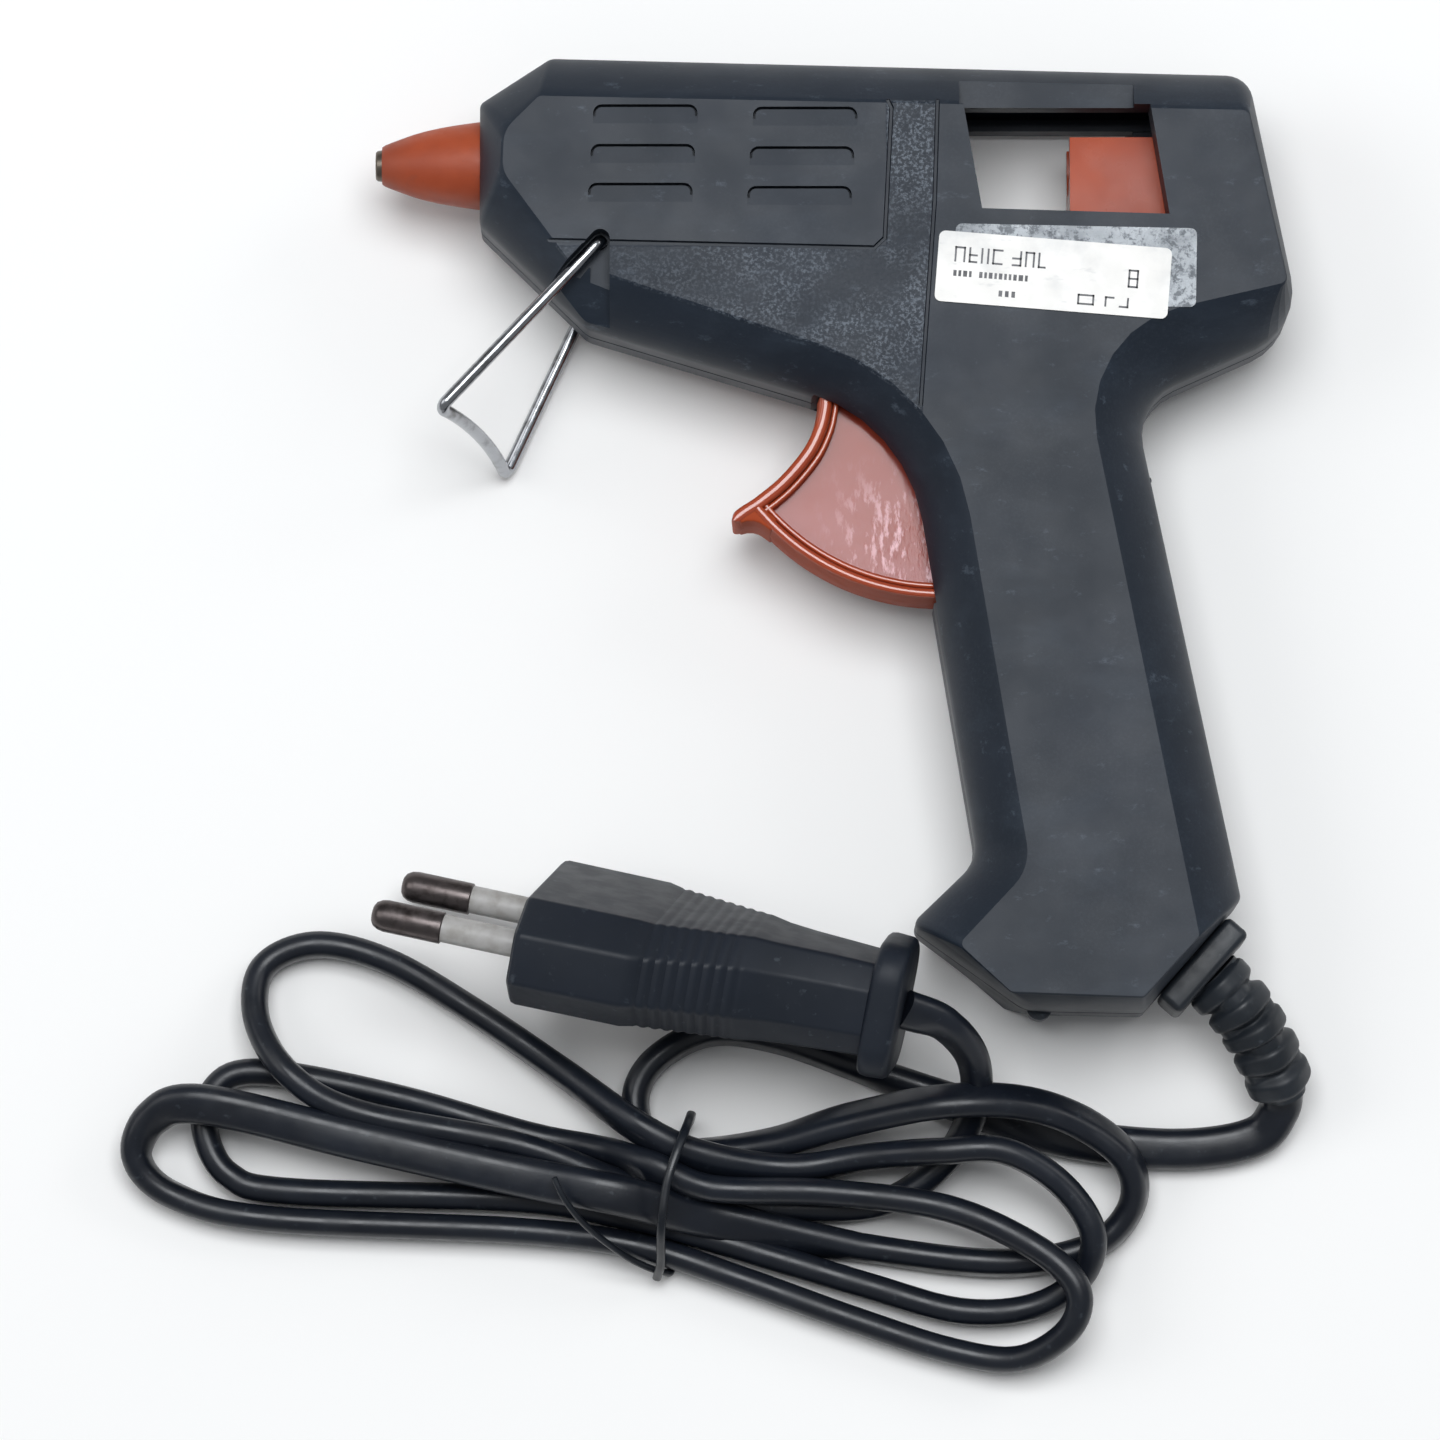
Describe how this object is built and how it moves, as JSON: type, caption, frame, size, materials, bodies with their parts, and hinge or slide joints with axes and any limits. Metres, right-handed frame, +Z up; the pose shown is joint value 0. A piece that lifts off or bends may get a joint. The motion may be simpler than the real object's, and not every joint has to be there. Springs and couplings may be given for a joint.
{
  "type": "glue gun",
  "caption": "Small corded hot-melt glue gun in a dark two-shell case with orange nozzle, trigger and feed carriage, folding wire stand and tied mains cord with plug.",
  "frame": {"origin": "centre of the gun's outline on the table it lies on, cord and plug not counted", "axes": "+X from the nozzle to the stick inlet, +Y from the foot of the grip to the top of the barrel, +Z up through the left side, which faces up"},
  "size_m": [0.1482, 0.1638, 0.0367],
  "materials": {
    "housing_plastic": "fine spark-eroded texture",
    "screw_steel": "zinc plated",
    "silicone": "matt moulded",
    "tip_metal": "turned",
    "phenolic": "pressed",
    "cast_alloy": "die cast",
    "ceramic": "fired, matt",
    "copper": "rolled strip",
    "spring_steel": "bright strip and wire",
    "pale_silicone": "matt moulded",
    "orange_plastic": "glossy moulded",
    "bright_wire": "bright plated",
    "foil": "satin foil",
    "white_film": "satin printed film",
    "brown_lead": "insulation",
    "blue_lead": "insulation",
    "crimp": "crimp cap",
    "cord_rubber": "satin extruded",
    "tie_plastic": "thin coated wire",
    "plug_rubber": "fine matt moulded",
    "pin_metal": "nickel plated brass",
    "pin_sleeve": "moulded"
  },
  "bodies": {
    "housing": {"left_housing": "housing_plastic", "right_housing": "housing_plastic", "housing_screw_nose": "screw_steel", "housing_screw_heel": "screw_steel", "housing_screw_grip": "screw_steel", "nozzle_sleeve": "silicone", "nozzle_tip": "tip_metal", "nose_ring": "phenolic", "melt_chamber": "cast_alloy", "ptc_heater": "ceramic", "electrode_upper": "copper", "electrode_lower": "copper", "heater_clip": "spring_steel", "inlet_sleeve": "pale_silicone", "sleeve_clamp": "spring_steel", "stick_guide": "orange_plastic", "trigger_pin": "screw_steel", "return_spring": "spring_steel", "silver_label": "foil", "rating_label": "white_film", "lead_live": "brown_lead", "lead_neutral": "blue_lead", "splice_live": "crimp", "splice_neutral": "crimp", "strain_relief": "cord_rubber", "power_cord": "cord_rubber", "cord_tie": "tie_plastic", "plug_body": "plug_rubber", "plug_pin_upper": "pin_metal", "plug_pin_lower": "pin_metal", "pin_sleeve_upper": "pin_sleeve", "pin_sleeve_lower": "pin_sleeve"},
    "trigger": {"trigger": "orange_plastic"},
    "carriage": {"stick_carriage": "orange_plastic", "jaw_pin": "screw_steel"},
    "jaw": {"carriage_jaw": "spring_steel"},
    "stand": {"wire_stand": "bright_wire"}
  },
  "joints": [
    {"name": "trigger_hinge", "type": "hinge", "parent": "housing", "child": "trigger", "pos_m": [0.0134, 0.0219, 0.013], "axis": [0, 0, 1], "range_deg": [0, 22], "stiffness_Nm_per_rad": 0.3, "springref_deg": -20.05, "deforming": ["return_spring"]},
    {"name": "carriage_slide", "type": "slide", "parent": "housing", "child": "carriage", "axis": [-1, 0, 0], "range_m": [0, 0.01]},
    {"name": "jaw_hinge", "type": "hinge", "parent": "carriage", "child": "jaw", "pos_m": [0.0415, 0.04, 0.013], "axis": [0, 0, 1], "range_deg": [-6, 0]},
    {"name": "stand_hinge", "type": "hinge", "parent": "housing", "child": "stand", "pos_m": [-0.0289, 0.0361, 0.013], "axis": [0, 0, 1], "range_deg": [0, 43]}
  ],
  "couplings": [
    {"joint": "carriage_slide", "follows": "trigger_hinge", "m_per_rad": 0.026044},
    {"joint": "jaw_hinge", "follows": "trigger_hinge", "ratio": -0.2727}
  ]
}
